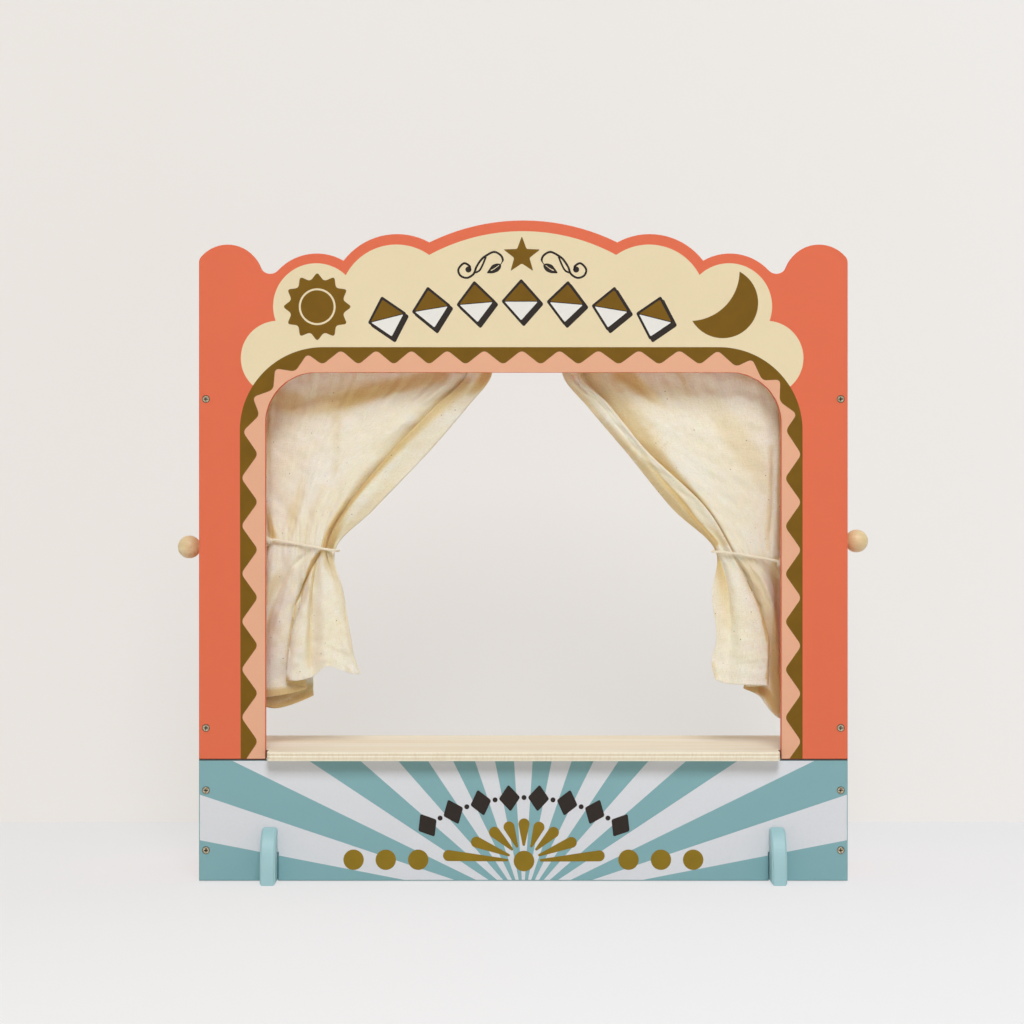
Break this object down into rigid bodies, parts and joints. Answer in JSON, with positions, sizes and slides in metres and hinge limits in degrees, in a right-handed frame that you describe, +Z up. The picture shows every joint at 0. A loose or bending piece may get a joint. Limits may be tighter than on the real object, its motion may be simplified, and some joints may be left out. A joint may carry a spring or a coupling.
{
  "type": "puppet theater stand",
  "caption": "Table-top puppet theater: scalloped painted front with a round-cornered stage opening, plywood shelf, tied-back cloth curtains on a rod, ball side pegs and slot-in feet.",
  "frame": {"origin": "middle of the base, on the surface it stands on", "axes": "+Z up, -Y towards the audience, +X to the audience's right"},
  "size_m": [0.6618, 0.157, 0.6117],
  "materials": {
    "coral_board": "satin paint",
    "kick_board": "satin printed paint",
    "foot_paint": "satin paint",
    "plywood": "sanded, clear",
    "beech": "turned, clear",
    "calico": "plain weave, unbleached",
    "cotton_cord": "twisted cotton",
    "screw": "antique"
  },
  "bodies": {
    "stand": {"upper_front_panel": "coral_board", "lower_front_panel": "kick_board", "stage_shelf": "plywood", "curtain_rod": "beech", "left_side_panel": "coral_board", "left_knob": "beech", "left_shelf_screw_front": "screw", "left_shelf_screw_rear": "screw", "left_front_screw_lower_bottom": "screw", "left_front_screw_lower_top": "screw", "left_front_screw_upper_bottom": "screw", "left_front_screw_upper_top": "screw", "left_tieback": "cotton_cord", "left_tieback_peg": "beech", "right_side_panel": "coral_board", "right_knob": "beech", "right_shelf_screw_front": "screw", "right_shelf_screw_rear": "screw", "right_front_screw_lower_bottom": "screw", "right_front_screw_lower_top": "screw", "right_front_screw_upper_bottom": "screw", "right_front_screw_upper_top": "screw", "right_tieback": "cotton_cord", "right_tieback_peg": "beech"},
    "left_curtain_cloth": {"left_curtain": "calico"},
    "right_curtain_cloth": {"right_curtain": "calico"},
    "left_foot_block": {"left_foot": "foot_paint"},
    "right_foot_block": {"right_foot": "foot_paint"}
  },
  "joints": [
    {"name": "left_curtain_slide", "type": "slide", "parent": "stand", "child": "left_curtain_cloth", "axis": [1, 0, 0], "range_m": [-0.15, 0.027], "deforming": ["left_curtain"]},
    {"name": "right_curtain_slide", "type": "slide", "parent": "stand", "child": "right_curtain_cloth", "axis": [-1, 0, 0], "range_m": [-0.15, 0.037], "deforming": ["right_curtain"]},
    {"name": "left_foot_slide", "type": "slide", "parent": "stand", "child": "left_foot_block", "axis": [0, 0, -1], "range_m": [0, 0.05]},
    {"name": "right_foot_slide", "type": "slide", "parent": "stand", "child": "right_foot_block", "axis": [0, 0, -1], "range_m": [0, 0.05]}
  ]
}
